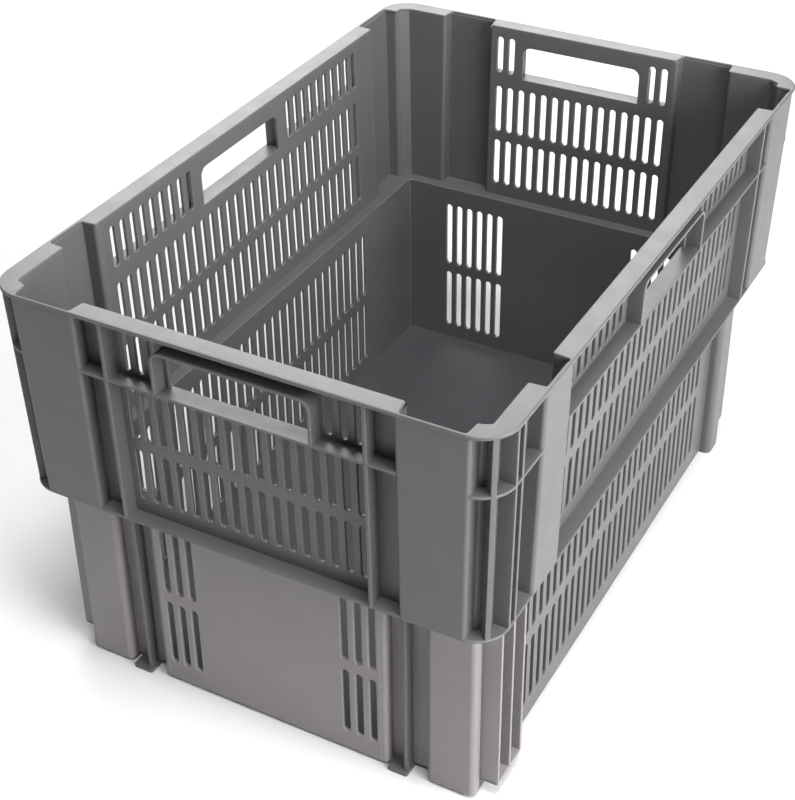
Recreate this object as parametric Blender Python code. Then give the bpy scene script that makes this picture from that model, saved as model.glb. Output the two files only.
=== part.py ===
"""Perforated stack-and-nest crate, 600 x 400 x 350 mm, as separate named moulded features.

+X is the long direction, +Z is up, the base is centred on the origin. "front" is the -X end,
"back" the +X end, "left" the +Y side, "right" the -Y side. Lengths below are millimetres.
"""

import math

import bmesh
import bpy

MM = 0.001

# Overall
RIM_HALF_X = 300.0
RIM_HALF_Y = 200.0
RIM_RADIUS = 27.0
RIM_TOP = 350.0
RIM_THICK = 3.0
RIM_THIN = 2.6
RIM_ROUND_OFF = 8.6
WALL = 3.0
GAP = 0.3
ARC_STEPS = 6

# Upper tier: outer faces of the bays and of the set-back walls, measured at the rim
BAY_X = 299.0
BAY_Y = 199.0
SET_X = 287.0
SET_Y = 187.0
DRAFT = 0.0233

# Levels
STEP_TOP = 178.0
STEP_THICK = 2.2
SHELF_TOP = 302.0
SHELF_THICK = 2.2
BASE = 3.0
FLOOR_TOP = 6.0
UPPER_BOTTOM = STEP_TOP + GAP
UPPER_TOP = RIM_TOP - RIM_THICK - GAP
BAND_BOTTOM = 296.5

# Step flange
STEP_HALF_X = 295.0
STEP_HALF_Y = 195.0
STEP_RADIUS = 25.0

# Lower tier: outer faces
LOW_X = 272.5
LOW_Y = 172.5
LOW_TOP = STEP_TOP - STEP_THICK - GAP
LOW_CHAMFER = 4.0
LOW_SIDE_END = 264.0

# Bays (start, end) along the end walls and along the side walls
FRONT_END_BAY = (124.0, 178.0)
FRONT_SIDE_BAY = (190.0, 233.0)
BACK_END_BAY = (89.0, 141.0)
BACK_SIDE_BAY = (222.0, 276.0)

# Slots
SLOT_WIDTH = 6.0
END_PITCH = 11.5
SIDE_PITCH = 12.5
SIDE_FIRST = -174.5
ROW_1 = (305.0, 340.0)
ROW_2 = (245.0, 291.0)
ROW_3 = (190.0, 236.0)
LOW_ROW_1 = (93.0, 160.0)
LOW_ROW_2 = (20.0, 83.0)

# Hand holes and the hoods round them
HOLE_HALF = 57.0
HOLE_BOTTOM = 302.5
HOLE_TOP = 334.0
HOOD_HALF = 63.0
HOOD_TOP = 337.5
HOOD_THICK = 2.6

# Vertical ribs and fins
RIB_THICK = 3.0
FRONT_RIB = 102.5
SIDE_RIB = 203.0
FIN_THICK = 2.5
FRONT_FINS_X = (273.5, 264.5)
BACK_FINS_Y = (161.0, 170.0)
FIN_RADIUS = RIM_RADIUS - 1.0
CORNER_CHAMFER = 8.0
CORNER_ROOM = 2.5

# Lower front end: channels, ribs and feet
CHANNEL = (101.0, 133.0)
CHANNEL_DEPTH = 10.0
CHANNEL_RIB = 116.0
FOOT_OUT = 276.0
LEFT_FOOT = (112.0, 130.0)
RIGHT_FOOT = (102.0, 119.0)
FRONT_PANEL_SLOTS = (66.5, 78.0, 89.5)
BACK_PANEL_SLOTS = tuple(70.0 + 11.0 * i for i in range(6))

# Posts of the lower side walls
FRONT_POST = (222.0, 262.0)
FRONT_POST_OUT = 187.0
FRONT_POST_BOTTOM = 12.0
BACK_POST = (207.0, 231.0)
BACK_POST_OUT = 182.0

OBJECT_NAME = "stack_nest_crate"
CUTTER_COLLECTION = "cutters"


def clear_scene():
    for obj in list(bpy.data.objects):
        bpy.data.objects.remove(obj, do_unlink=True)


def new_collection(name):
    collection = bpy.data.collections.new(name)
    bpy.context.scene.collection.children.link(collection)
    return collection


def plastic(name):
    material = bpy.data.materials.new(name + "_plastic")
    material.use_nodes = True
    shader = material.node_tree.nodes["Principled BSDF"]
    shader.inputs["Base Color"].default_value = (0.115, 0.115, 0.12, 1.0)
    shader.inputs["Roughness"].default_value = 0.45
    return material


def add_prism(bm, outline, low, high):
    """A flat face with the plan outline at the height low, extruded up to high."""
    corners = [bm.verts.new((x * MM, y * MM, low * MM)) for x, y in outline]
    base = bm.faces.new(corners)
    extruded = bmesh.ops.extrude_face_region(bm, geom=[base])
    raised = [item for item in extruded["geom"] if isinstance(item, bmesh.types.BMVert)]
    bmesh.ops.translate(bm, verts=raised, vec=(0.0, 0.0, (high - low) * MM))


def box_outline(x0, x1, y0, y1):
    return [(x0, y0), (x1, y0), (x1, y1), (x0, y1)]


def drafted(value, limit, height):
    """The upper tier leans in towards the step."""
    if abs(value) < limit or height < STEP_TOP:
        return value
    return value - math.copysign(DRAFT * (RIM_TOP - height), value)


def apply_draft(bm):
    for vert in bm.verts:
        height = vert.co.z / MM
        vert.co.x = drafted(vert.co.x / MM, 250.0, height) * MM
        vert.co.y = drafted(vert.co.y / MM, 150.0, height) * MM


def mesh_object(name, prisms, collection, draft=False):
    """An object from (outline, low, high) prisms that don't touch each other."""
    bm = bmesh.new()
    for outline, low, high in prisms:
        add_prism(bm, outline, low, high)
    if draft:
        apply_draft(bm)
    bmesh.ops.recalc_face_normals(bm, faces=bm.faces)
    mesh = bpy.data.meshes.new(name)
    bm.to_mesh(mesh)
    bm.free()
    obj = bpy.data.objects.new(name, mesh)
    collection.objects.link(obj)
    return obj


def part(name, prisms, draft=False):
    obj = mesh_object(name, prisms, PARTS, draft)
    obj.data.materials.append(plastic(name))
    return obj


def helper(name, prisms, draft=False):
    obj = mesh_object(name, prisms, CUTTERS, draft)
    obj.hide_render = True
    obj.display_type = "WIRE"
    return obj


def boolean(obj, other, operation):
    modifier = obj.modifiers.new(operation.lower(), "BOOLEAN")
    modifier.operation = operation
    modifier.solver = "EXACT"
    modifier.object = other


def cut(obj, prisms):
    boolean(obj, helper(obj.name + "_cutter", prisms), "DIFFERENCE")


def join(obj, prisms, suffix, draft=False):
    boolean(obj, helper(obj.name + suffix, prisms, draft), "UNION")


def flip(outline, sx, sy):
    """The outline of the +X, +Y quadrant, mirrored into another quadrant."""
    return [(sx * x, sy * y) for x, y in outline]


def flipped(prisms, sx, sy):
    return [(flip(outline, sx, sy), low, high) for outline, low, high in prisms]


def arc(cx, cy, radius, start, end, steps=ARC_STEPS):
    points = []
    for i in range(steps + 1):
        angle = math.radians(start + (end - start) * i / steps)
        points.append((cx + radius * math.cos(angle), cy + radius * math.sin(angle)))
    return points


def offset_path(path, distance):
    """The path moved sideways, with its corners kept sharp."""
    points = []
    for i, (x, y) in enumerate(path):
        normals = []
        for a, b in ((i - 1, i), (i, i + 1)):
            if a < 0 or b >= len(path):
                continue
            dx = path[b][0] - path[a][0]
            dy = path[b][1] - path[a][1]
            length = math.hypot(dx, dy)
            normals.append((-dy / length, dx / length))
        nx = sum(n[0] for n in normals) / len(normals)
        ny = sum(n[1] for n in normals) / len(normals)
        scale = distance / (nx * nx + ny * ny)
        points.append((x + nx * scale, y + ny * scale))
    return points


def shell_outline(path, thickness=WALL):
    """Plan outline of a wall that follows a centre line."""
    left = offset_path(path, thickness / 2)
    right = offset_path(path, -thickness / 2)
    return left + right[::-1]


def end_row(offsets, x, row, depth=8.0):
    """Slot cutters in an end wall, each at one of the offsets along Y."""
    half = SLOT_WIDTH / 2
    return [(box_outline(x - depth, x + depth, y - half, y + half), *row) for y in offsets]


def side_row(offsets, y, row, depth=8.0):
    half = SLOT_WIDTH / 2
    return [(box_outline(x - half, x + half, y - depth, y + depth), *row) for x in offsets]


def centred(count, pitch):
    return [(i - (count - 1) / 2) * pitch for i in range(count)]


def side_positions(first, last):
    return [SIDE_FIRST + SIDE_PITCH * i for i in range(first, last + 1)]


def rounded_end(half_x, half_y, radius, inner_x):
    """Plan outline of a bar across the +X end with two rounded outer corners."""
    lower = arc(half_x - radius, radius - half_y, radius, -90, 0)
    upper = arc(half_x - radius, half_y - radius, radius, 0, 90)
    return lower + upper + [(inner_x, half_y), (inner_x, -half_y)]


def build_floor():
    half_x = LOW_X - WALL - GAP
    half_y = LOW_Y - WALL - GAP
    hollow = CHANNEL_DEPTH
    inner, outer = CHANNEL[0] - WALL - GAP, CHANNEL[1] + WALL + GAP
    back = [(half_x - LOW_CHAMFER, -half_y), (half_x, -half_y + LOW_CHAMFER)]
    back += [(x, -y) for x, y in back[::-1]]
    front = [(-x, y) for x, y in back[::-1]]
    notches = []
    for a, b in ((outer, inner), (-inner, -outer)):
        notches += [(-half_x, a), (hollow - half_x, a), (hollow - half_x, b), (-half_x, b)]
    outline = front[2:] + back + front[:2] + notches
    part("floor_panel", [(outline, BASE, FLOOR_TOP)])


def build_lower_front_wall():
    outer = LOW_X - WALL / 2
    inner = outer - CHANNEL_DEPTH
    side = LOW_Y - WALL / 2
    near, far = CHANNEL[0] - WALL / 2, CHANNEL[1] + WALL / 2
    half = [(-LOW_SIDE_END, side), (LOW_CHAMFER - outer, side), (-outer, side - LOW_CHAMFER)]
    half += [(-outer, far), (-inner, far), (-inner, near), (-outer, near)]
    path = half + [(x, -y) for x, y in half[::-1]]
    wall = part("lower_front_wall", [(shell_outline(path), BASE, LOW_TOP)])
    slots = []
    for row in (LOW_ROW_1, LOW_ROW_2):
        for y in FRONT_PANEL_SLOTS:
            slots += end_row((y, -y), -LOW_X, row)
    cut(wall, slots)


def build_lower_back_wall():
    outer = LOW_X - WALL / 2
    side = LOW_Y - WALL / 2
    half = [(LOW_SIDE_END, side), (outer - LOW_CHAMFER, side), (outer, side - LOW_CHAMFER)]
    path = half + [(x, -y) for x, y in half[::-1]]
    wall = part("lower_back_wall", [(shell_outline(path), BASE, LOW_TOP)])
    slots = []
    for row in (LOW_ROW_1, LOW_ROW_2):
        slots += end_row(BACK_PANEL_SLOTS, LOW_X, row)
        slots += end_row([-y for y in BACK_PANEL_SLOTS], LOW_X, row)
    cut(wall, slots)


def build_lower_side_wall(name, sy):
    limit = LOW_SIDE_END - GAP
    y0, y1 = LOW_Y - WALL, LOW_Y
    outline = flip(box_outline(-limit, limit, y0, y1), 1, sy)
    wall = part(name, [(outline, BASE, LOW_TOP)])
    slots = []
    for row in (LOW_ROW_1, LOW_ROW_2):
        slots += side_row(side_positions(-2, 28), sy * LOW_Y, row)
    cut(wall, slots)


def build_front_foot(name, sy, plate_from, plate_to):
    """The rib in a channel of the lower front wall, with the foot at its bottom."""
    inner = -LOW_X + CHANNEL_DEPTH - GAP
    half = RIB_THICK / 2
    rib = box_outline(-LOW_X, inner, CHANNEL_RIB - half, CHANNEL_RIB + half)
    foot = part(name, flipped([(rib, BASE - 1.0, LOW_TOP)], 1, sy))
    plate = box_outline(-FOOT_OUT, inner, plate_from, plate_to)
    join(foot, flipped([(plate, 0.0, BASE)], 1, sy), "_plate")


def build_front_post(name, sy):
    """Three fins tied by a bottom plate, on the lower side wall next to the front end."""
    start, end = FRONT_POST
    y0, y1 = LOW_Y + GAP, FRONT_POST_OUT
    plate = (box_outline(-end, -start, y0, y1), FRONT_POST_BOTTOM, FRONT_POST_BOTTOM + WALL)
    post = part(name, flipped([plate], 1, sy))
    fins = []
    for x in (-end, -(start + end) / 2 - 1.0, -start - FIN_THICK):
        top = FRONT_POST_BOTTOM + 1.0
        fins.append((box_outline(x, x + FIN_THICK, y0, y1), top, LOW_TOP))
    join(post, flipped(fins, 1, sy), "_fins")


def build_back_post(name, sy):
    """A smooth channel on the lower side wall towards the back end. Its closed bottom is a foot."""
    start, end = BACK_POST
    y0, y1 = LOW_Y + GAP, BACK_POST_OUT
    half = WALL / 2
    chamfer = LOW_CHAMFER
    path = [(start + half, y0), (start + half, y1 - chamfer), (start + chamfer, y1 - half)]
    path += [(end - chamfer, y1 - half), (end - half, y1 - chamfer), (end - half, y0)]
    post = part(name, flipped([(shell_outline(path), 0.0, LOW_TOP)], 1, sy))
    plate = box_outline(start + half, end - half, y0, y1 - chamfer)
    join(post, flipped([(plate, 0.0, WALL)], 1, sy), "_plate")


def build_step_flange():
    low, high = STEP_TOP - STEP_THICK, STEP_TOP
    inner_x = LOW_X - WALL
    inner_y = LOW_Y - WALL
    end = rounded_end(STEP_HALF_X, STEP_HALF_Y, STEP_RADIUS, inner_x)
    part("step_flange_front", [(flip(end, -1, 1), low, high)])
    part("step_flange_back", [(end, low, high)])
    side = box_outline(GAP - inner_x, inner_x - GAP, inner_y, STEP_HALF_Y)
    part("step_flange_left", [(side, low, high)])
    part("step_flange_right", [(flip(side, 1, -1), low, high)])


def build_end_wall(name, sx, bay, count):
    """Grille and hand-hole band of one end, between its two bays."""
    half = bay[0] - GAP
    outline = flip(box_outline(SET_X - WALL, SET_X, -half, half), sx, 1)
    grille = part("grille_" + name, [(outline, UPPER_BOTTOM, BAND_BOTTOM - GAP)], True)
    offsets = centred(count, END_PITCH)
    slots = end_row(offsets, sx * SET_X, ROW_3) + end_row(offsets, sx * SET_X, ROW_2)
    cut(grille, slots)
    band = part("hand_band_" + name, [(outline, BAND_BOTTOM, UPPER_TOP)], True)
    outside = [y for y in offsets if abs(y) > HOOD_HALF + SLOT_WIDTH / 2]
    hole = box_outline(SET_X - 10, SET_X + 10, -HOLE_HALF, HOLE_HALF)
    openings = end_row(outside, sx * SET_X, ROW_1)
    cut(band, openings + flipped([(hole, HOLE_BOTTOM, HOLE_TOP)], sx, 1))


def build_side_wall(name, sy):
    x0 = GAP - FRONT_SIDE_BAY[0]
    x1 = BACK_SIDE_BAY[0] - GAP
    outline = flip(box_outline(x0, x1, SET_Y - WALL, SET_Y), 1, sy)
    grille = part("grille_" + name, [(outline, UPPER_BOTTOM, BAND_BOTTOM - GAP)], True)
    offsets = side_positions(0, 29)
    slots = side_row(offsets, sy * SET_Y, ROW_3) + side_row(offsets, sy * SET_Y, ROW_2)
    cut(grille, slots)
    band = part("hand_band_" + name, [(outline, BAND_BOTTOM, UPPER_TOP)], True)
    outside = [x for x in offsets if abs(x) > HOOD_HALF + SLOT_WIDTH]
    hole = box_outline(-HOLE_HALF, HOLE_HALF, SET_Y - 10, SET_Y + 10)
    openings = side_row(outside, sy * SET_Y, ROW_1)
    cut(band, openings + flipped([(hole, HOLE_BOTTOM, HOLE_TOP)], 1, sy))


def rib_heights():
    """Below and above the shelf, each reaching into it."""
    shelf_bottom = SHELF_TOP - SHELF_THICK
    return ((UPPER_BOTTOM, shelf_bottom + 1.0), (SHELF_TOP - 1.0, UPPER_TOP))


def build_end_shelf(name, sx, bay):
    """The shelf under the hand hole of one end."""
    x0, x1 = SET_X + GAP, BAY_X
    half = bay[0] - GAP
    shelf = (box_outline(x0, x1, -half, half), SHELF_TOP - SHELF_THICK, SHELF_TOP)
    return part("shelf_" + name, flipped([shelf], sx, 1), True)


def build_front_ribs(shelf):
    """The two upright ribs that cross the shelf of the front end."""
    half = RIB_THICK / 2
    ribs = []
    for low, high in rib_heights():
        for y in (-FRONT_RIB, FRONT_RIB):
            ribs.append((box_outline(SET_X + GAP, BAY_X, y - half, y + half), low, high))
    join(shelf, flipped(ribs, -1, 1), "_ribs", True)


def build_side_shelf(name, sy):
    y0, y1 = SET_Y + GAP, BAY_Y
    x0 = GAP - FRONT_SIDE_BAY[0]
    x1 = BACK_SIDE_BAY[0] - GAP
    shelf = (box_outline(x0, x1, y0, y1), SHELF_TOP - SHELF_THICK, SHELF_TOP)
    shelf_part = part("shelf_" + name, flipped([shelf], 1, sy), True)
    half = RIB_THICK / 2
    ribs = []
    for low, high in rib_heights():
        ribs.append((box_outline(SIDE_RIB - half, SIDE_RIB + half, y0, y1), low, high))
    join(shelf_part, flipped(ribs, 1, sy), "_ribs", True)


def hood_prisms(near, far, turned):
    """Two legs and a top bar, with the legs reaching into the bar."""
    low = SHELF_TOP + GAP
    bar_bottom = HOOD_TOP - HOOD_THICK
    spans = ((-HOOD_HALF, HOOD_THICK - HOOD_HALF), (HOOD_HALF - HOOD_THICK, HOOD_HALF))
    legs = []
    for a, b in spans:
        outline = box_outline(a, b, near, far) if turned else box_outline(near, far, a, b)
        legs.append((outline, low, HOOD_TOP - 1.0))
    ends = (-HOOD_HALF, HOOD_HALF)
    outline = box_outline(*ends, near, far) if turned else box_outline(near, far, *ends)
    return (outline, bar_bottom, HOOD_TOP), legs


def build_hood(name, sx, sy, near, far, turned):
    bar, legs = hood_prisms(near, far, turned)
    hood = part("hand_hood_" + name, flipped([bar], sx, sy), True)
    join(hood, flipped(legs, sx, sy), "_legs", True)


def corner_chamfer(end_bay, side_bay):
    """Length of the chamfer where the two set-back walls meet, on their centre lines."""
    end_room = SET_Y - end_bay[1] - CORNER_ROOM
    side_room = SET_X - side_bay[1] - CORNER_ROOM
    return min(CORNER_CHAMFER, end_room, side_room)


def corner_path(end_bay, side_bay):
    """Centre line of a corner post, from its end bay round to its side bay."""
    half = WALL / 2
    out_x, out_y = BAY_X - half, BAY_Y - half
    set_x, set_y = SET_X - half, SET_Y - half
    a0, a1 = end_bay[0] + half, end_bay[1] - half
    b0, b1 = side_bay[0] + half, side_bay[1] - half
    chamfer = corner_chamfer(end_bay, side_bay)
    path = [(set_x - half, a0), (out_x, a0), (out_x, a1), (set_x, a1)]
    path += [(set_x, set_y - chamfer), (set_x - chamfer, set_y)]
    path += [(b1, set_y), (b1, out_y), (b0, out_y), (b0, set_y - half)]
    return path


def build_corner_post(name, sx, sy, end_bay, side_bay):
    outline = flip(shell_outline(corner_path(end_bay, side_bay)), sx, sy)
    part("corner_post_" + name, [(outline, UPPER_BOTTOM, UPPER_TOP)], True)


def diagonal_fin(chamfer):
    """Plan outline of the fin that runs from the corner chamfer out to the rounded corner."""
    root = WALL / 2 + chamfer / 2 - WALL / 2 * math.sqrt(0.5) - GAP
    tip = FIN_RADIUS * (1.0 - math.sqrt(0.5)) + GAP
    across = FIN_THICK / 2 * math.sqrt(0.5)
    ax, ay = SET_X - root, SET_Y - root
    bx, by = BAY_X - tip, BAY_Y - tip
    start = [(ax - across, ay + across), (ax + across, ay - across)]
    return start + [(bx + across, by - across), (bx - across, by + across)]


def corner_fin_outlines(end_bay, side_bay):
    """The diagonal fin and the pair on the longer leg of the corner recess."""
    outlines = [diagonal_fin(corner_chamfer(end_bay, side_bay))]
    half = FIN_THICK / 2
    if end_bay == FRONT_END_BAY:
        for x in FRONT_FINS_X:
            outlines.append(box_outline(x - half, x + half, SET_Y + GAP, BAY_Y))
    else:
        for y in BACK_FINS_Y:
            outlines.append(box_outline(SET_X + GAP, BAY_X, y - half, y + half))
    return outlines


def corner_plate_outline(end_bay, side_bay):
    """The corner recess in plan, from the set-back walls out to the rounded corner."""
    radius = FIN_RADIUS
    inner_x, inner_y = SET_X + GAP, SET_Y + GAP
    bay_x, bay_y = side_bay[1] + GAP, end_bay[1] + GAP
    chamfer = corner_chamfer(end_bay, side_bay)
    low = max(0.0, bay_y - BAY_Y + radius)
    high = max(0.0, bay_x - BAY_X + radius)
    start = math.degrees(math.asin(low / radius))
    end = math.degrees(math.acos(high / radius))
    outline = [(inner_x, inner_y - chamfer), (inner_x, bay_y)]
    if low == 0.0:
        outline.append((BAY_X, bay_y))
    outline += arc(BAY_X - radius, BAY_Y - radius, radius, start, end)
    if high == 0.0:
        outline.append((bay_x, BAY_Y))
    return outline + [(bay_x, inner_y), (inner_x - chamfer, inner_y)]


def build_corner_fins(name, sx, sy, end_bay, side_bay):
    """A plate at shelf height in the corner recess, crossed by the upright fins."""
    outline = corner_plate_outline(end_bay, side_bay)
    plate = (outline, SHELF_TOP - SHELF_THICK, SHELF_TOP)
    fins_part = part("corner_fins_" + name, flipped([plate], sx, sy), True)
    fins = []
    for low, high in rib_heights():
        for fin in corner_fin_outlines(end_bay, side_bay):
            fins.append((fin, low, high))
    join(fins_part, flipped(fins, sx, sy), "_fins", True)


def rim_end_half(end_bay, side_bay, split):
    """Inner edge of the rim over half of one end, from the middle to the split."""
    inner_x, inner_y = SET_X - WALL, SET_Y - WALL
    thin_x, thin_y = RIM_HALF_X - RIM_THIN, RIM_HALF_Y - RIM_THIN
    a0, a1 = end_bay
    points = [(inner_x, a0 - 4), (inner_x + 4, a0), (thin_x, a0 + 3), (thin_x, a1 - 4)]
    points += [(inner_x + 1, a1 - 3), (inner_x, a1 - 1.5)]
    round_off = min(RIM_ROUND_OFF, inner_y - a1)
    points += [(inner_x, inner_y - round_off), (inner_x - 0.5 * round_off, inner_y)]
    b1 = side_bay[1]
    points += [(b1 - 2, inner_y), (b1 - 4, thin_y), (split, thin_y)]
    return points


def build_rim_end(name, sx, end_bay, side_bay, split):
    half = rim_end_half(end_bay, side_bay, split)
    inner = [(x, -y) for x, y in half[::-1]] + half
    corner_x, corner_y = RIM_HALF_X - RIM_RADIUS, RIM_HALF_Y - RIM_RADIUS
    outer = [(split, RIM_HALF_Y)] + arc(corner_x, corner_y, RIM_RADIUS, 90, 0)
    outer += arc(corner_x, -corner_y, RIM_RADIUS, 0, -90) + [(split, -RIM_HALF_Y)]
    part("rim_" + name, [(flip(inner + outer, sx, 1), RIM_TOP - RIM_THICK, RIM_TOP)])


def build_rim_side(name, sy, front_split, back_split):
    inner_y, thin_y = SET_Y - WALL, RIM_HALF_Y - RIM_THIN
    a, b = -FRONT_SIDE_BAY[0], BACK_SIDE_BAY[0]
    x0, x1 = GAP - front_split, back_split - GAP
    outline = [(x0, RIM_HALF_Y), (x0, thin_y), (a - 3, thin_y), (a + 2, inner_y)]
    outline += [(b - 2, inner_y), (b + 3, thin_y), (x1, thin_y), (x1, RIM_HALF_Y)]
    part("rim_" + name, [(flip(outline, 1, sy), RIM_TOP - RIM_THICK, RIM_TOP)])


def build_lower_tier():
    build_floor()
    build_lower_front_wall()
    build_lower_back_wall()
    build_lower_side_wall("lower_left_wall", 1)
    build_lower_side_wall("lower_right_wall", -1)
    build_front_foot("front_foot_left", 1, *LEFT_FOOT)
    build_front_foot("front_foot_right", -1, *RIGHT_FOOT)
    build_front_post("lower_post_front_left", 1)
    build_front_post("lower_post_front_right", -1)
    build_back_post("lower_post_back_left", 1)
    build_back_post("lower_post_back_right", -1)
    build_step_flange()


def build_upper_walls():
    build_end_wall("front", -1, FRONT_END_BAY, 17)
    build_end_wall("back", 1, BACK_END_BAY, 15)
    build_side_wall("left", 1)
    build_side_wall("right", -1)
    build_front_ribs(build_end_shelf("front", -1, FRONT_END_BAY))
    build_end_shelf("back", 1, BACK_END_BAY)
    build_side_shelf("left", 1)
    build_side_shelf("right", -1)
    build_hood("front", -1, 1, SET_X + GAP, BAY_X, False)
    build_hood("back", 1, 1, SET_X + GAP, BAY_X, False)
    build_hood("left", 1, 1, SET_Y + GAP, BAY_Y, True)
    build_hood("right", 1, -1, SET_Y + GAP, BAY_Y, True)


def build_corners():
    for side, sy in (("left", 1), ("right", -1)):
        build_corner_post("front_" + side, -1, sy, FRONT_END_BAY, FRONT_SIDE_BAY)
        build_corner_post("back_" + side, 1, sy, BACK_END_BAY, BACK_SIDE_BAY)
        build_corner_fins("front_" + side, -1, sy, FRONT_END_BAY, FRONT_SIDE_BAY)
        build_corner_fins("back_" + side, 1, sy, BACK_END_BAY, BACK_SIDE_BAY)


def build_rim():
    front_split = sum(FRONT_SIDE_BAY) / 2
    back_split = sum(BACK_SIDE_BAY) / 2
    build_rim_end("front", -1, FRONT_END_BAY, FRONT_SIDE_BAY, front_split)
    build_rim_end("back", 1, BACK_END_BAY, BACK_SIDE_BAY, back_split)
    build_rim_side("left", 1, front_split, back_split)
    build_rim_side("right", -1, front_split, back_split)


clear_scene()
PARTS = new_collection(OBJECT_NAME)
CUTTERS = new_collection(CUTTER_COLLECTION)
build_lower_tier()
build_upper_walls()
build_corners()
build_rim()
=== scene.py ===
"""Looks for the perforated stack-and-nest crate: one grey plastic moulding, shown as its features.

+X is the long direction, +Z is up. "front" is the -X end, "back" the +X end, "left" the +Y
side, "right" the -Y side. Lengths below are millimetres, turned into metres when meshes are made.
"""

import math

import bmesh
import bpy
from mathutils import Matrix, Vector
from mathutils.geometry import tessellate_polygon


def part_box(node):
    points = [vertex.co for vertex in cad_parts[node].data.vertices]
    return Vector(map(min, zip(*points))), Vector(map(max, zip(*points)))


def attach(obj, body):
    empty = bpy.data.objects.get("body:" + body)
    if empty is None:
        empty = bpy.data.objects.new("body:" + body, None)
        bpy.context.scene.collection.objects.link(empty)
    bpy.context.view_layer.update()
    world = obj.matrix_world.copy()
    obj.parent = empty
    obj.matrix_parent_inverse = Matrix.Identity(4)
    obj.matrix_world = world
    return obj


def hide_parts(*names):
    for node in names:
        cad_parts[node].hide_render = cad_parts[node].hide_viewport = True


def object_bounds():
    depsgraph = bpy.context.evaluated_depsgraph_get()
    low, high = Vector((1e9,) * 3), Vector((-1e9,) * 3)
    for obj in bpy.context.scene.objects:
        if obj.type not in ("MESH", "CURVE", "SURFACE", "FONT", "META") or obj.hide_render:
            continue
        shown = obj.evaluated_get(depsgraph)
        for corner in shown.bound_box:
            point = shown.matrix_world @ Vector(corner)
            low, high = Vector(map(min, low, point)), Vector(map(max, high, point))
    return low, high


MM = 0.001

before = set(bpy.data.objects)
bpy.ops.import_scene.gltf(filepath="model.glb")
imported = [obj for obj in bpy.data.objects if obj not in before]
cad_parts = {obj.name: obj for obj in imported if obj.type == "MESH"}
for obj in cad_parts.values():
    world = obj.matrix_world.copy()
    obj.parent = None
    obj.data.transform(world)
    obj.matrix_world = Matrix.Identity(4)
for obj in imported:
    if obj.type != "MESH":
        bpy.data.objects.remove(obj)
CAD_LOW, CAD_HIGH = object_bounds()

# Levels and planes read from the frame
HALF_X = CAD_HIGH.x / MM
HALF_Y = CAD_HIGH.y / MM
RIM_TOP = CAD_HIGH.z / MM
RIM_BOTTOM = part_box("rim_front")[0].z / MM
STEP_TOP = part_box("step_flange_front")[1].z / MM
STEP_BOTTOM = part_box("step_flange_front")[0].z / MM
STEP_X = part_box("step_flange_back")[1].x / MM
STEP_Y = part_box("step_flange_left")[1].y / MM
LOW_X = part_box("lower_back_wall")[1].x / MM
LOW_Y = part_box("lower_left_wall")[1].y / MM
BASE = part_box("floor_panel")[0].z / MM
FLOOR_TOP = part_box("floor_panel")[1].z / MM
FOOT_FRONT = -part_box("front_foot_left")[0].x / MM
BACK_POST_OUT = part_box("lower_post_back_left")[1].y / MM
FRONT_POST_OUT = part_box("lower_post_front_left")[1].y / MM
FRONT_POST_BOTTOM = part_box("lower_post_front_left")[0].z / MM

# Upper tier. A bay is where a wall steps out to the rim, given as two distances from the middle.
RIM_RADIUS = 27.0
RIM_THIN = 2.6
RIM_ROUND_OFF = 8.6
RIM_EDGE = 1.0
WALL = 3.0
BAY_SET_IN = 1.0
WALL_SET_IN = 13.0
BAY_X = HALF_X - BAY_SET_IN
BAY_Y = HALF_Y - BAY_SET_IN
SET_X = HALF_X - WALL_SET_IN
SET_Y = HALF_Y - WALL_SET_IN
DRAFT = 0.0233
DRAFTED_FROM_X = 250.0
DRAFTED_FROM_Y = 150.0
SHELF_TOP = 302.0
SHELF_THICK = 2.2
STEP_RADIUS = 25.0
FRONT_END_BAY = (124.0, 178.0)
FRONT_SIDE_BAY = (190.0, 233.0)
BACK_END_BAY = (89.0, 141.0)
BACK_SIDE_BAY = (222.0, 276.0)
BAY_FILLET = 1.6
POST_STUB = BAY_FILLET + 1.5
CORNER_CHAMFER = 8.0
CORNER_ROOM = 2.5

# Slots
SLOT_RADIUS = 3.0
END_PITCH = 11.5
SIDE_PITCH = 12.5
SIDE_FIRST = -174.5
FRONT_SLOTS = 17
BACK_SLOTS = 15
SIDE_SLOTS = 30
LOW_SIDE_SLOTS = range(-2, 29)
ROW_1 = (305.0, 340.0)
ROW_2 = (245.0, 291.0)
ROW_3 = (190.0, 236.0)
LOW_ROW_1 = (93.0, 160.0)
LOW_ROW_2 = (20.0, 83.0)
FRONT_PANEL_SLOTS = (66.5, 78.0, 89.5)
BACK_PANEL_SLOTS = tuple(70.0 + 11.0 * i for i in range(6))

# Hand holes
HOLE_HALF = 57.0
HOLE_BOTTOM = SHELF_TOP - 1.2
HOLE_TOP = 334.0
HOLE_RADIUS = 7.5
HOLE_FOOT_RADIUS = 1.0
SILL_HALF = HOLE_HALF + 0.2
HOOD_HALF = 63.0
HOOD_TOP = 337.5
HOOD_THICK = 2.6
HOOD_RADIUS = 8.5

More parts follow.
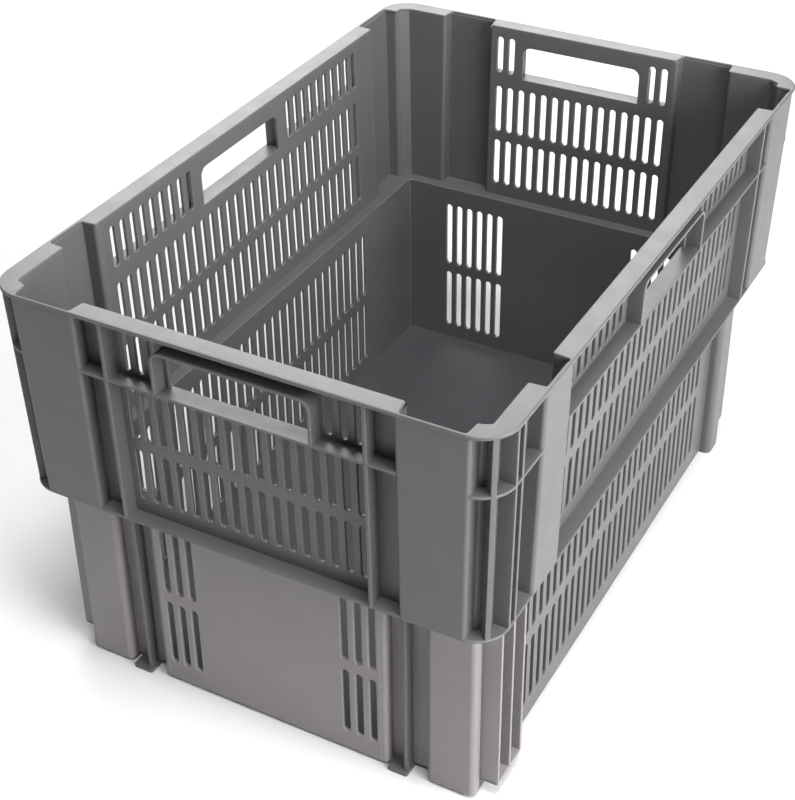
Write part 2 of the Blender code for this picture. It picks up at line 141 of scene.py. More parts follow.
# Ribs, fins and posts
RIB_THICK = 3.0
FRONT_RIB = 102.5
SIDE_RIB = 203.0
FIN_THICK = 2.5
FIN_RADIUS = RIM_RADIUS - 1.0
DIAGONAL_THICK = 4.0
FRONT_FINS_X = (273.5, 264.5)
BACK_FINS_Y = (161.0, 170.0)
LOW_CORNER = 5.5
CORNER_LEG = LOW_CORNER + 3.0
CHANNEL = (101.0, 133.0)
CHANNEL_DEPTH = 10.0
CHANNEL_RADIUS = 2.5
CHANNEL_MOUTH_RADIUS = 3.5
CHANNEL_LIP = 4.0
CHANNEL_RIB = 116.0
LEFT_FOOT = (112.0, 130.0)
RIGHT_FOOT = (102.0, 119.0)
FRONT_POST = (222.0, 262.0)
BACK_POST = (207.0, 231.0)
BACK_POST_RADIUS = 6.0
PLATE_RADIUS = 2.0

# Rounding of thin edges, and how far one piece runs into the next
EDGE = 0.55
SOFT_EDGE = 0.8
FIN_ROUNDING = 0.6
SINK = 1.2
LAP = 1.0
UPPER_LOW = STEP_TOP - LAP
UPPER_HIGH = RIM_BOTTOM + LAP
LOWER_HIGH = STEP_BOTTOM + LAP

# Limits for rounding corners, and the turn above which a shaded edge stays sharp
SAME_POINT = 1e-4
SMALLEST_TURN = math.radians(8)
LEG_SHARE = 0.46
SMALLEST_REACH = 0.05
SHARP_TURN = math.radians(52)


def arc(cx, cy, radius, start, end, steps=8):
    """Points of an arc between two angles in degrees."""
    points = []
    for i in range(steps + 1):
        angle = math.radians(start + (end - start) * i / steps)
        points.append((cx + radius * math.cos(angle), cy + radius * math.sin(angle)))
    return points


def signed_area(loop):
    """Positive where the loop runs counterclockwise."""
    total = 0.0
    for (x0, y0), (x1, y1) in zip(loop, loop[1:] + loop[:1]):
        total += x0 * y1 - x1 * y0
    return total / 2


def counterclockwise(loop):
    return list(loop) if signed_area(loop) > 0 else list(loop)[::-1]


def distinct(points, closed):
    """The line without points that repeat the one before."""
    kept = [points[0]]
    for point in points[1:]:
        if math.dist(point, kept[-1]) > SAME_POINT:
            kept.append(point)
    if closed and math.dist(kept[0], kept[-1]) < SAME_POINT:
        kept.pop()
    return kept


def offset_points(points, distance, closed):
    """The line moved to its left side, with its corners kept sharp."""
    count = len(points)
    moved = []
    for i, (x, y) in enumerate(points):
        normals = []
        for a, b in ((i - 1, i), (i, i + 1)):
            if not closed and (a < 0 or b >= count):
                continue
            (x0, y0), (x1, y1) = points[a % count], points[b % count]
            length = math.hypot(x1 - x0, y1 - y0)
            normals.append(((y0 - y1) / length, (x1 - x0) / length))
        nx = sum(n[0] for n in normals) / len(normals)
        ny = sum(n[1] for n in normals) / len(normals)
        scale = distance / (nx * nx + ny * ny)
        moved.append((x + nx * scale, y + ny * scale))
    return moved


def fillet(points, radius, closed, steps=5):
    """The line with each corner replaced by an arc, smaller where its legs are short."""
    points = distinct(points, closed)
    count = len(points)
    rounded = []
    for i, (x, y) in enumerate(points):
        if not closed and i in (0, count - 1):
            rounded.append((x, y))
            continue
        before = Vector(points[(i - 1) % count]) - Vector((x, y))
        after = Vector(points[(i + 1) % count]) - Vector((x, y))
        turn = math.pi - before.angle(after)
        if turn < SMALLEST_TURN:
            rounded.append((x, y))
            continue
        wanted = radius[i] if isinstance(radius, (list, tuple)) else radius
        shorter = min(before.length, after.length)
        reach = min(wanted * math.tan(turn / 2), LEG_SHARE * shorter)
        if reach < SMALLEST_REACH:
            rounded.append((x, y))
            continue
        true_radius = reach / math.tan(turn / 2)
        start = Vector((x, y)) + before.normalized() * reach
        end = Vector((x, y)) + after.normalized() * reach
        middle = (before.normalized() + after.normalized()).normalized()
        centre = Vector((x, y)) + middle * (true_radius / math.cos(turn / 2))
        first = start - centre
        cross = first.x * (end - centre).y - first.y * (end - centre).x
        sweep = math.copysign(turn, cross)
        for j in range(steps + 1):
            turned = Matrix.Rotation(sweep * j / steps, 2) @ first
            rounded.append((centre.x + turned.x, centre.y + turned.y))
    return rounded


class Loop:
    """A closed line of the slab's plane that knows how to shrink into the material."""

    def __init__(self, points, hole=False, bevelled=True):
        ordered = counterclockwise(distinct(points, True))
        self.points = ordered[::-1] if hole else ordered
        self.bevelled = bevelled

    def inset(self, distance):
        """Towards the material: an outline shrinks and a hole grows."""
        if distance == 0.0 or not self.bevelled:
            return self.points
        return offset_points(self.points, distance, True)


def edge_profile(half, bevel, steps):
    """(height, inset) pairs across the edge of a slab, from its low face to its high face."""
    if bevel == 0.0:
        return [(-half, 0.0), (half, 0.0)]
    low, high = [], []
    for i in range(steps + 1):
        angle = math.pi / 2 * i / steps
        inset = bevel * (1.0 - math.sin(angle))
        rise = bevel * (1.0 - math.cos(angle))
        low.append((rise - half, inset))
        high.append((half - rise, inset))
    return low + high[::-1]


def slab(bm, loops, low, high, place, bevel=EDGE, steps=2):
    """A flat piece with holes, between two heights, with rounded edges, added to bm."""
    middle, half = (low + high) / 2, (high - low) / 2
    rings = edge_profile(half, min(bevel, half * 0.9), steps)
    caps = {0: [], len(rings) - 1: []}
    for loop in loops:
        stack = []
        for height, inset in rings:
            line = loop.inset(inset)
            stack.append([bm.verts.new(place(u, v, middle + height)) for u, v in line])
        for lower, upper in zip(stack, stack[1:]):
            for j in range(len(lower)):
                k = (j + 1) % len(lower)
                bm.faces.new((lower[j], lower[k], upper[k], upper[j]))
        for level in caps:
            caps[level].append((loop.inset(rings[level][1]), stack[level]))
    for level, parts in caps.items():
        flat = [[Vector((u, v, 0.0)) for u, v in line] for line, _ in parts]
        verts = [vert for _, ring in parts for vert in ring]
        for triangle in tessellate_polygon(flat):
            corners = [verts[i] for i in triangle]
            if len(set(corners)) == 3:
                bm.faces.new(corners)


def drafted(value, limit, height):
    """The upper tier leans in towards the step."""
    if abs(value) < limit:
        return value
    return value - math.copysign(DRAFT * (RIM_TOP - height), value)


def plan(draft=False, sx=1, sy=1):
    """Places a slab drawn in plan. Its heights run along Z."""

    def place(u, v, w):
        x, y = sx * u, sy * v
        if draft:
            x, y = drafted(x, DRAFTED_FROM_X, w), drafted(y, DRAFTED_FROM_Y, w)
        return (x * MM, y * MM, w * MM)

    return place


def end_elevation(sx, draft=True):
    """Places a slab drawn as (y, z). Its heights run outwards along X."""

    def place(u, v, w):
        x = drafted(w, DRAFTED_FROM_X, v) if draft else w
        return (sx * x * MM, u * MM, v * MM)

    return place


def side_elevation(sy, draft=True):
    """Places a slab drawn as (x, z). Its heights run outwards along Y."""

    def place(u, v, w):
        y = drafted(w, DRAFTED_FROM_Y, v) if draft else w
        return (u * MM, sy * y * MM, v * MM)

    return place


def finish_mesh(name, bm, nodes, material):
    """Turns bm into a shaded piece that stands in for the CAD nodes named."""
    bmesh.ops.remove_doubles(bm, verts=bm.verts, dist=1e-6)
    bmesh.ops.recalc_face_normals(bm, faces=bm.faces)
    mesh = bpy.data.meshes.new(name)
    bm.to_mesh(mesh)
    bm.free()
    for polygon in mesh.polygons:
        polygon.use_smooth = True
    mesh.set_sharp_from_angle(angle=SHARP_TURN)
    obj = bpy.data.objects.new(name, mesh)
    bpy.context.scene.collection.objects.link(obj)
    weighted = obj.modifiers.new("weighted_normals", "WEIGHTED_NORMAL")
    weighted.keep_sharp = True
    weighted.weight = 100
    mesh.materials.append(material)
    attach(obj, "root")
    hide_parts(*nodes)


def box_loop(x0, x1, y0, y1):
    return [(x0, y0), (x1, y0), (x1, y1), (x0, y1)]


def stadium(centre, low, high):
    """An upright slot with full-round ends."""
    top = arc(centre, high - SLOT_RADIUS, SLOT_RADIUS, 0, 180)
    return top + arc(centre, low + SLOT_RADIUS, SLOT_RADIUS, 180, 360)


def rounded_rect(half_x, half_y, radius, steps):
    cx, cy = half_x - radius, half_y - radius
    points = arc(cx, cy, radius, 0, 90, steps) + arc(-cx, cy, radius, 90, 180, steps)
    return points + arc(-cx, -cy, radius, 180, 270, steps) + arc(cx, -cy, radius, 270, 360, steps)


def shell(path, thickness=WALL):
    """Outline of a wall of even thickness along a centre line."""
    left = offset_points(path, thickness / 2, False)
    right = offset_points(path, -thickness / 2, False)
    return left + right[::-1]


def centred(count, pitch):
    """Evenly spaced places about zero."""
    return [(i - (count - 1) / 2) * pitch for i in range(count)]


def plastic(name, tone=(0.084, 0.084, 0.087), roughness=0.42):
    """Moulded polypropylene: faint clouding, fine grain and paler, worn edges."""
    material = bpy.data.materials.new(name)
    material.use_nodes = True
    tree = material.node_tree
    nodes, links = tree.nodes, tree.links
    shader = nodes["Principled BSDF"]
    shader.inputs["IOR"].default_value = 1.49
    coords = nodes.new("ShaderNodeTexCoord")

    clouds = nodes.new("ShaderNodeTexNoise")
    clouds.inputs["Scale"].default_value = 9.0
    clouds.inputs["Detail"].default_value = 5.0
    clouds.inputs["Roughness"].default_value = 0.6
    links.new(coords.outputs["Object"], clouds.inputs["Vector"])
    tint = nodes.new("ShaderNodeValToRGB")
    tint.color_ramp.elements[0].position = 0.3
    tint.color_ramp.elements[0].color = (*[c * 0.93 for c in tone], 1.0)
    tint.color_ramp.elements[1].position = 0.72
    tint.color_ramp.elements[1].color = (*[c * 1.06 for c in tone], 1.0)
    links.new(clouds.outputs["Fac"], tint.inputs["Fac"])

    bevel = nodes.new("ShaderNodeBevel")
    bevel.samples = 4
    bevel.inputs["Radius"].default_value = 0.0012
    geometry = nodes.new("ShaderNodeNewGeometry")
    alike = nodes.new("ShaderNodeVectorMath")
    alike.operation = "DOT_PRODUCT"
    links.new(bevel.outputs["Normal"], alike.inputs[0])
    links.new(geometry.outputs["Normal"], alike.inputs[1])
    worn = nodes.new("ShaderNodeMapRange")
    worn.inputs["From Min"].default_value = 0.99
    worn.inputs["From Max"].default_value = 0.88
    worn.inputs["To Min"].default_value = 0.0
    worn.inputs["To Max"].default_value = 1.0
    links.new(alike.outputs["Value"], worn.inputs["Value"])
    patches = nodes.new("ShaderNodeTexNoise")
    patches.inputs["Scale"].default_value = 60.0
    patches.inputs["Detail"].default_value = 3.0
    links.new(coords.outputs["Object"], patches.inputs["Vector"])
    amount = nodes.new("ShaderNodeMath")
    amount.operation = "MULTIPLY"
    links.new(worn.outputs["Result"], amount.inputs[0])
    links.new(patches.outputs["Fac"], amount.inputs[1])
    mix = nodes.new("ShaderNodeMix")
    mix.data_type = "RGBA"
    mix.inputs["B"].default_value = (*[min(1.0, c * 1.9) for c in tone], 1.0)
    links.new(amount.outputs["Value"], mix.inputs["Factor"])
    links.new(tint.outputs["Color"], mix.inputs["A"])
    links.new(mix.outputs["Result"], shader.inputs["Base Color"])

    sheen = nodes.new("ShaderNodeMapRange")
    sheen.inputs["To Min"].default_value = roughness - 0.07
    sheen.inputs["To Max"].default_value = roughness + 0.08
    links.new(patches.outputs["Fac"], sheen.inputs["Value"])
    links.new(sheen.outputs["Result"], shader.inputs["Roughness"])

    grain = nodes.new("ShaderNodeTexNoise")
    grain.inputs["Scale"].default_value = 900.0
    grain.inputs["Detail"].default_value = 2.0
    links.new(coords.outputs["Object"], grain.inputs["Vector"])
    bump = nodes.new("ShaderNodeBump")
    bump.inputs["Strength"].default_value = 0.08
    bump.inputs["Distance"].default_value = 0.0003
    links.new(grain.outputs["Fac"], bump.inputs["Height"])
    links.new(bump.outputs["Normal"], shader.inputs["Normal"])
    return material


def wall_panel(name, place, outside, outline, openings, nodes, material):
    """A wall with openings, whose outer face is at the distance given."""
    bm = bmesh.new()
    loops = [Loop(outline, bevelled=False)]
    loops += [Loop(opening, hole=True) for opening in openings]
    slab(bm, loops, outside - WALL, outside, place)
    finish_mesh(name, bm, nodes, material)


def hand_hole():
    """Flush with the shelf, so only its upper corners are rounded."""
    outline = box_loop(-HOLE_HALF, HOLE_HALF, HOLE_BOTTOM, HOLE_TOP)
    radii = [HOLE_FOOT_RADIUS, HOLE_FOOT_RADIUS, HOLE_RADIUS, HOLE_RADIUS]
    return fillet(outline, radii, True, 8)


def build_upper_end(name, sx, bay, count):
    half = bay[0] + WALL / 2 - POST_STUB
    outline = box_loop(-half, half, UPPER_LOW, UPPER_HIGH)
    offsets = centred(count, END_PITCH)
    openings = [stadium(y, *row) for row in (ROW_3, ROW_2) for y in offsets]
    outside = [y for y in offsets if abs(y) > HOOD_HALF + SLOT_RADIUS]
    openings += [stadium(y, *ROW_1) for y in outside]
    openings.append(hand_hole())
    nodes = ("grille_" + name, "hand_band_" + name)
    place = end_elevation(sx)
    wall_panel("upper_wall_" + name, place, SET_X, outline, openings, nodes, BODY)


def build_upper_side(name, sy):
    x0 = -FRONT_SIDE_BAY[0] - WALL / 2 + POST_STUB
    x1 = BACK_SIDE_BAY[0] + WALL / 2 - POST_STUB
    outline = box_loop(x0, x1, UPPER_LOW, UPPER_HIGH)
    offsets = [SIDE_FIRST + SIDE_PITCH * i for i in range(SIDE_SLOTS)]
    openings = [stadium(x, *row) for row in (ROW_3, ROW_2) for x in offsets]
    openings += [stadium(x, *ROW_1) for x in offsets if abs(x) > HOOD_HALF + 2 * SLOT_RADIUS]
    openings.append(hand_hole())
    nodes = ("grille_" + name, "hand_band_" + name)
    place = side_elevation(sy)
    wall_panel("upper_wall_" + name, place, SET_Y, outline, openings, nodes, BODY)


def corner_chamfer(end_bay, side_bay):
    """Length of the chamfer where the two set-back walls meet, on their centre lines."""
    end_room = SET_Y - end_bay[1] - CORNER_ROOM
    side_room = SET_X - side_bay[1] - CORNER_ROOM
    return min(CORNER_CHAMFER, end_room, side_room)


def corner_path(end_bay, side_bay):
    """Centre line of a corner post, from the end wall round both bays to the side wall."""
    half = WALL / 2
    out_x, out_y = BAY_X - half, BAY_Y - half
    set_x, set_y = SET_X - half, SET_Y - half
    a0, a1 = end_bay[0] + half, end_bay[1] - half
    b0, b1 = side_bay[0] + half, side_bay[1] - half
    chamfer = corner_chamfer(end_bay, side_bay)
    path = [(set_x, a0 - POST_STUB), (set_x, a0), (out_x, a0), (out_x, a1), (set_x, a1)]
    path += [(set_x, set_y - chamfer), (set_x - chamfer, set_y)]
    path += [(b1, set_y), (b1, out_y), (b0, out_y), (b0, set_y)]
    return path + [(b0 - POST_STUB, set_y)]


def build_corner_post(name, sx, sy, end_bay, side_bay):
    bm = bmesh.new()
    path = fillet(corner_path(end_bay, side_bay), BAY_FILLET, False)
    outline = Loop(shell(path), bevelled=False)
    slab(bm, [outline], UPPER_LOW, UPPER_HIGH, plan(True, sx, sy), 0.0)
    finish_mesh("corner_post_" + name, bm, ("corner_post_" + name,), BODY)


def plan_slab(bm, outline, low, high, place, rounding=FIN_ROUNDING):
    slab(bm, [Loop(fillet(outline, rounding, True, 3))], low, high, place)


def diagonal_fin(chamfer):
    """Plan outline of the fin that runs from the corner chamfer out to the rounded corner."""
    root = WALL / 2 + chamfer / 2 - WALL / 2 * math.sqrt(0.5) + SINK
    tip = FIN_RADIUS * (1.0 - math.sqrt(0.5))
    across = DIAGONAL_THICK / 2 * math.sqrt(0.5)
    ax, ay = SET_X - root, SET_Y - root
    bx, by = BAY_X - tip, BAY_Y - tip
    start = [(ax - across, ay + across), (ax + across, ay - across)]
    return start + [(bx + across, by - across), (bx - across, by + across)]


def corner_plate(end_bay, side_bay):
    """The corner recess in plan, from inside the set-back walls out to the rounded corner."""
    radius = FIN_RADIUS
    inner_x, inner_y = SET_X - SINK, SET_Y - SINK
    bay_x, bay_y = side_bay[1] - SINK, end_bay[1] - SINK
    chamfer = corner_chamfer(end_bay, side_bay)
    low = max(0.0, bay_y - BAY_Y + radius)
    high = max(0.0, bay_x - BAY_X + radius)
    start = math.degrees(math.asin(low / radius))
    end = math.degrees(math.acos(high / radius))
    outline = [(inner_x, inner_y - chamfer), (inner_x, bay_y)]
    if low == 0.0:
        outline.append((BAY_X, bay_y))
    outline += arc(BAY_X - radius, BAY_Y - radius, radius, start, end, 12)
    if high == 0.0:
        outline.append((bay_x, BAY_Y))
    return outline + [(bay_x, inner_y), (inner_x - chamfer, inner_y)]


def build_corner_fins(name, sx, sy, end_bay, side_bay):
    """A plate level with the shelves, with upright fins through it."""
    nodes = ("corner_fins_" + name,)
    bm = bmesh.new()
    place = plan(True, sx, sy)
    plan_slab(bm, corner_plate(end_bay, side_bay), SHELF_TOP - SHELF_THICK, SHELF_TOP, place)
    half = FIN_THICK / 2
    outlines = [diagonal_fin(corner_chamfer(end_bay, side_bay))]
    if end_bay == FRONT_END_BAY:
        for x in FRONT_FINS_X:
            outlines.append(box_loop(x - half, x + half, SET_Y - SINK, BAY_Y))
    else:
        for y in BACK_FINS_Y:
            outlines.append(box_loop(SET_X - SINK, BAY_X, y - half, y + half))
    for outline in outlines:
        plan_slab(bm, outline, UPPER_LOW, UPPER_HIGH, place)
    finish_mesh("corner_fins_" + name, bm, nodes, BODY)


def build_shelves():
    """Shelves under the hand holes, each with a sill that runs through its hole."""
    low, high = SHELF_TOP - SHELF_THICK, SHELF_TOP
    half = RIB_THICK / 2
    for name, sx, bay, ribs in (
        ("front", -1, FRONT_END_BAY, (-FRONT_RIB, FRONT_RIB)),
        ("back", 1, BACK_END_BAY, ()),
    ):
        bm = bmesh.new()
        place = plan(True, sx, 1)
        reach = bay[0] + SINK
        x0, x1 = SET_X - SINK, SET_X - WALL
        outline = [(x1, -SILL_HALF), (x0, -SILL_HALF), (x0, -reach), (BAY_X, -reach)]
        plan_slab(bm, outline + [(x, -y) for x, y in outline[::-1]], low, high, place)
        for y in ribs:
            plan_slab(bm, box_loop(x0, BAY_X, y - half, y + half), UPPER_LOW, UPPER_HIGH, place)
        finish_mesh("shelf_" + name, bm, ("shelf_" + name,), BODY)
    for name, sy in (("left", 1), ("right", -1)):
        bm = bmesh.new()
        place = plan(True, 1, sy)
        x0, x1 = -FRONT_SIDE_BAY[0] - SINK, BACK_SIDE_BAY[0] + SINK
        y0, y1 = SET_Y - SINK, SET_Y - WALL
        outline = [(x0, y0), (-SILL_HALF, y0), (-SILL_HALF, y1), (SILL_HALF, y1)]
        outline += [(SILL_HALF, y0), (x1, y0), (x1, BAY_Y), (x0, BAY_Y)]
        plan_slab(bm, outline, low, high, place)
        rib = box_loop(SIDE_RIB - half, SIDE_RIB + half, y0, BAY_Y)
        plan_slab(bm, rib, UPPER_LOW, UPPER_HIGH, place)
        finish_mesh("shelf_" + name, bm, ("shelf_" + name,), BODY)


def build_hoods():
    """A rib bent over the top of each hand hole, standing on the shelf."""
    side = HOOD_HALF - HOOD_THICK / 2
    top = HOOD_TOP - HOOD_THICK / 2
    foot = SHELF_TOP - LAP
    path = [(-side, foot), (-side, top), (side, top), (side, foot)]
    outline = Loop(shell(fillet(path, HOOD_RADIUS, False, 8), HOOD_THICK))
    for name, place, near, far in (
        ("front", end_elevation(-1), SET_X - SINK, BAY_X),
        ("back", end_elevation(1), SET_X - SINK, BAY_X),
        ("left", side_elevation(1), SET_Y - SINK, BAY_Y),
        ("right", side_elevation(-1), SET_Y - SINK, BAY_Y),
    ):
        bm = bmesh.new()
        slab(bm, [outline], near, far, place)
        finish_mesh("hand_hood_" + name, bm, ("hand_hood_" + name,), BODY)


def rim_inner_quarter(end_bay, side_bay):
    """Inner edge of the rim over one quarter, from the end wall's middle to the side wall's.

    Over each bay it steps out to a thin strip. The numbers added here slant the ends of the steps.
    """
    inner_x, inner_y = SET_X - WALL, SET_Y - WALL
    thin_x, thin_y = HALF_X - RIM_THIN, HALF_Y - RIM_THIN
    a0, a1 = end_bay
    b0, b1 = side_bay
    points = [(inner_x, a0 + 1.5), (thin_x, a0 + 3.5), (thin_x, a1 - 4)]
    points += [(inner_x + 1, a1 - 3), (inner_x, a1 - 1.5)]
    round_off = min(RIM_ROUND_OFF, inner_y - a1)
    points += [(inner_x, inner_y - round_off), (inner_x - 0.5 * round_off, inner_y)]
    return points + [(b1 - 3, inner_y), (b1 - 4, thin_y), (b0 + 3.5, thin_y), (b0 + 2.5, inner_y)]


def build_rim():
    front = rim_inner_quarter(FRONT_END_BAY, FRONT_SIDE_BAY)
    back = rim_inner_quarter(BACK_END_BAY, BACK_SIDE_BAY)
    inner = back + [(-x, y) for x, y in front[::-1]]
    inner += [(-x, -y) for x, y in front] + [(x, -y) for x, y in back[::-1]]
    outer = rounded_rect(HALF_X, HALF_Y, RIM_RADIUS, 14)
    bm = bmesh.new()
    loops = [Loop(outer), Loop(fillet(inner, 2.0, True, 4), hole=True)]
    slab(bm, loops, RIM_BOTTOM, RIM_TOP, plan(), RIM_EDGE, 3)
    nodes = ("rim_front", "rim_back", "rim_left", "rim_right")
    finish_mesh("rim", bm, nodes, BODY)


def build_step_flange():
    outer = rounded_rect(STEP_X, STEP_Y, STEP_RADIUS, 14)
    inner = rounded_rect(LOW_X - WALL, LOW_Y - WALL, LOW_CORNER - WALL + 1.0, 6)
    bm = bmesh.new()
    slab(bm, [Loop(outer), Loop(inner, hole=True)], STEP_BOTTOM, STEP_TOP, plan(), SOFT_EDGE)
    nodes = tuple("step_flange_" + side for side in ("front", "back", "left", "right"))
    finish_mesh("step_flange", bm, nodes, BODY)


def build_lower_tier():
    """Four upright walls. They meet on seams just outside the rounded corners and the channels."""
    outer_x, outer_y = LOW_X - WALL / 2, LOW_Y - WALL / 2
    seam_x, seam_y = LOW_X - CORNER_LEG, LOW_Y - CORNER_LEG
    inner = outer_x - CHANNEL_DEPTH
    near, far = CHANNEL[0] - WALL / 2, CHANNEL[1] + WALL / 2

    # Side walls
    slots = [SIDE_FIRST + SIDE_PITCH * i for i in LOW_SIDE_SLOTS]
    openings = [stadium(x, *row) for row in (LOW_ROW_1, LOW_ROW_2) for x in slots]
    outline = box_loop(-seam_x, seam_x, BASE, LOWER_HIGH)
    for name, sy in (("left", 1), ("right", -1)):
        node = f"lower_{name}_wall"
        place = side_elevation(sy, False)
        wall_panel(node, place, LOW_Y, outline, openings, (node,), BODY)

    # Back wall with its two rounded corners
    openings = []
    for row in (LOW_ROW_1, LOW_ROW_2):
        for y in BACK_PANEL_SLOTS:
            openings += [stadium(y, *row), stadium(-y, *row)]
    outline = box_loop(-seam_y, seam_y, BASE, LOWER_HIGH)
    place = end_elevation(1, False)
    node = ("lower_back_wall",)
    wall_panel("lower_back_wall", place, LOW_X, outline, openings, node, BODY)
    corner = [(outer_x, seam_y), (outer_x, outer_y), (seam_x, outer_y)]
    for name, sy in (("left", 1), ("right", -1)):
        bm = bmesh.new()
        path = fillet(corner, LOW_CORNER, False, 8)
        corner_post = Loop(shell(path), bevelled=False)
        slab(bm, [corner_post], BASE, LOWER_HIGH, plan(False, 1, sy), 0.0)
        finish_mesh("lower_back_corner_" + name, bm, node, BODY)

    # Front wall: a slotted panel between two channels, with smooth posts outside them
    openings = []
    for row in (LOW_ROW_1, LOW_ROW_2):
        for y in FRONT_PANEL_SLOTS:
            openings += [stadium(y, *row), stadium(-y, *row)]
    seam = near - CHANNEL_LIP
    outline = box_loop(-seam, seam, BASE, LOWER_HIGH)
    place = end_elevation(-1, False)
    node = ("lower_front_wall",)
    # This wall and the two posts built next use the paler plastic with painted bounce light.
    wall_panel("lower_front_wall", place, LOW_X, outline, openings, node, LOWER_PAINTED_LIGHT)
    path = [(outer_x, seam), (outer_x, near), (inner, near), (inner, far), (outer_x, far)]
    path += [(outer_x, outer_y), (seam_x, outer_y)]
    radii = [0.0] + 3 * [CHANNEL_RADIUS] + [CHANNEL_MOUTH_RADIUS, LOW_CORNER, 0.0]
    for name, sy in (("left", 1), ("right", -1)):
        bm = bmesh.new()
        post = Loop(shell(fillet(path, radii, False, 6)), bevelled=False)
        slab(bm, [post], BASE, LOWER_HIGH, plan(False, -1, sy), 0.0)
        finish_mesh("lower_front_post_" + name, bm, node, LOWER_PAINTED_LIGHT)


def build_floor():
    """A plate inside the walls, notched where the channels of the front wall run down."""
    bm = bmesh.new()
    half = WALL / 2
    edge = LOW_X - half
    outline = rounded_rect(edge, LOW_Y - half, LOW_CORNER - 1.0, 6)
    inner, outer = CHANNEL[0] - half, CHANNEL[1] + half
    depth = CHANNEL_DEPTH - edge
    notches = []
    for a, b in ((outer, inner), (-inner, -outer)):
        notches += [(-edge, a), (depth, a), (depth, b), (-edge, b)]
    front = len(outline) // 2
    outline[front:front] = notches
    slab(bm, [Loop(outline, bevelled=False)], BASE, FLOOR_TOP, plan(), 0.0)
    # Its material carries painted shade: a darker tone for the dim inside of the crate.
    finish_mesh("floor_panel", bm, ("floor_panel",), SHADED_FLOOR)


def build_front_feet():
    inner = LOW_X - CHANNEL_DEPTH - SINK
    half = RIB_THICK / 2
    for name, sy, foot in (("left", 1, LEFT_FOOT), ("right", -1, RIGHT_FOOT)):
        bm = bmesh.new()
        place = plan(False, -1, sy)
        rib = box_loop(inner, LOW_X, CHANNEL_RIB - half, CHANNEL_RIB + half)
        plan_slab(bm, rib, BASE - LAP, LOWER_HIGH, place)
        plan_slab(bm, box_loop(inner, FOOT_FRONT, *foot), 0.0, BASE, place, PLATE_RADIUS)
        finish_mesh("front_foot_" + name, bm, ("front_foot_" + name,), BODY)


def build_side_posts():
    for name, sy in (("left", 1), ("right", -1)):
        # Three fins tied by a bottom plate, next to the front end
        start, end = FRONT_POST
        y0, y1 = LOW_Y - SINK, FRONT_POST_OUT
        low = FRONT_POST_BOTTOM
        bm = bmesh.new()
        place = plan(False, 1, sy)
        plate = box_loop(-end, -start, y0, y1)
        plan_slab(bm, plate, low, low + WALL, place, PLATE_RADIUS)
        middle = (start + end) / 2 + 1.0
        for x in (-end, -middle, -start - FIN_THICK):
            fin = box_loop(x, x + FIN_THICK, y0, y1)
            plan_slab(bm, fin, low + LAP, LOWER_HIGH, place)
        node = "lower_post_front_" + name
        # These fins use the paler plastic with painted bounce light.
        finish_mesh(node, bm, (node,), LOWER_PAINTED_LIGHT)

        # A smooth channel towards the back end, closed at the bottom
        start, end = BACK_POST
        out, half = BACK_POST_OUT, WALL / 2
        path = [(start + half, y0), (start + half, out - half)]
        path += [(end - half, out - half), (end - half, y0)]
        bm = bmesh.new()
        line = fillet(path, BACK_POST_RADIUS, False, 8)
        slab(bm, [Loop(shell(line))], 0.0, LOWER_HIGH, place, SOFT_EDGE)
        bottom = box_loop(start + LAP, end - LAP, y0, out - LAP)
        inside = fillet(bottom, BACK_POST_RADIUS - 0.5, True, 8)
        slab(bm, [Loop(inside)], 0.2, WALL, place, 0.0)
        node = "lower_post_back_" + name
        finish_mesh(node, bm, (node,), BODY)


def area_light(name, location, target, size, power, size_y=None):
    """A soft light aimed at a point, square unless size_y is given."""
    data = bpy.data.lights.new(name, "AREA")
    data.energy = power
    data.size = size
    if size_y:
        data.shape = "RECTANGLE"
        data.size_y = size_y
    light = bpy.data.objects.new(name, data)
    light.location = location
    direction = Vector(target) - Vector(location)
    light.rotation_euler = direction.to_track_quat("-Z", "Y").to_euler()
    bpy.context.scene.collection.objects.link(light)


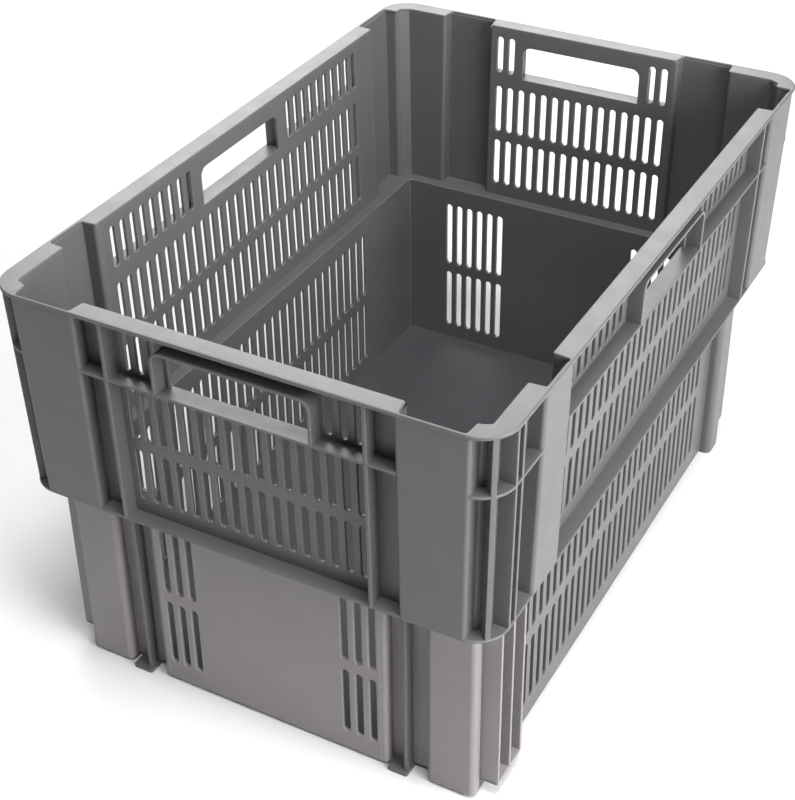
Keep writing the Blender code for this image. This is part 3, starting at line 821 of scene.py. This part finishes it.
def build_stage():
    """A pale floor, the dim sky and the soft lights."""
    bm = bmesh.new()
    bmesh.ops.create_circle(bm, cap_ends=True, segments=96, radius=9.0)
    mesh = bpy.data.meshes.new("stage_floor")
    bm.to_mesh(mesh)
    bm.free()
    floor = bpy.data.objects.new("stage_floor", mesh)
    bpy.context.scene.collection.objects.link(floor)
    material = bpy.data.materials.new("stage_white")
    material.use_nodes = True
    shader = material.node_tree.nodes["Principled BSDF"]
    shader.inputs["Base Color"].default_value = (0.61, 0.61, 0.61, 1.0)
    shader.inputs["Roughness"].default_value = 0.9
    mesh.materials.append(material)

    world = bpy.data.worlds.new("studio")
    world.use_nodes = True
    background = world.node_tree.nodes["Background"]
    background.inputs["Color"].default_value = (1.0, 1.0, 1.0, 1.0)
    background.inputs["Strength"].default_value = 0.08
    bpy.context.scene.world = world
    bpy.context.scene.view_settings.view_transform = "Standard"
    area_light("front_softbox", (-0.65, -0.45, 3.0), (-0.1, 0.0, 0.15), 1.0, 96.0)
    area_light("right_softbox", (0.0, -1.7, 1.9), (0.0, 0.0, 0.2), 1.4, 16.0)
    area_light("low_softbox", (-0.4, -1.6, 0.75), (-0.05, 0.0, 0.15), 1.3, 60.0, 0.9)
    area_light("back_softbox", (1.9, 1.15, 1.6), (0.0, 0.0, 0.3), 2.0, 64.0, 1.2)


def build_camera():
    """The photograph's viewing angle."""
    data = bpy.data.cameras.new("camera")
    data.sensor_fit = "HORIZONTAL"
    data.sensor_width = 36.0
    data.lens = 75.09
    data.shift_x = 0.0013
    data.shift_y = -0.0631
    data.clip_end = 50.0
    data.dof.use_dof = False
    camera = bpy.data.objects.new("camera", data)
    tilt = Matrix.Rotation(math.radians(56.604), 3, "X")
    roll = Matrix.Rotation(math.radians(-0.697), 3, "Z")
    turn = Matrix.Rotation(math.radians(-61.062), 3, "Z")
    place = (turn @ tilt @ roll).to_4x4()
    place.translation = Vector((-1.0254, -0.5290, 0.9442))
    camera.matrix_world = place
    bpy.context.scene.collection.objects.link(camera)
    bpy.context.scene.camera = camera


BODY = plastic("moulded_grey_plastic")
# The floor panel is the same grey plastic in a darker, bluer tone: painted shade for the dim
# inside of the crate.
SHADED_FLOOR = plastic("moulded_grey_floor_painted_shade", (0.038, 0.038, 0.043), 0.8)
# The lower front pieces use the same grey plastic in a paler, warmer tone: painted light for the
# light the floor bounces up onto them.
LOWER_PAINTED_LIGHT = plastic("moulded_grey_painted_bounce_light", (0.195, 0.183, 0.18), 0.5)

build_upper_end("front", -1, FRONT_END_BAY, FRONT_SLOTS)
build_upper_end("back", 1, BACK_END_BAY, BACK_SLOTS)
build_upper_side("left", 1)
build_upper_side("right", -1)
for side, side_sy in (("left", 1), ("right", -1)):
    build_corner_post("front_" + side, -1, side_sy, FRONT_END_BAY, FRONT_SIDE_BAY)
    build_corner_post("back_" + side, 1, side_sy, BACK_END_BAY, BACK_SIDE_BAY)
    build_corner_fins("front_" + side, -1, side_sy, FRONT_END_BAY, FRONT_SIDE_BAY)
    build_corner_fins("back_" + side, 1, side_sy, BACK_END_BAY, BACK_SIDE_BAY)
build_shelves()
build_hoods()
build_rim()
build_step_flange()
build_lower_tier()
build_floor()
build_front_feet()
build_side_posts()
build_stage()
build_camera()
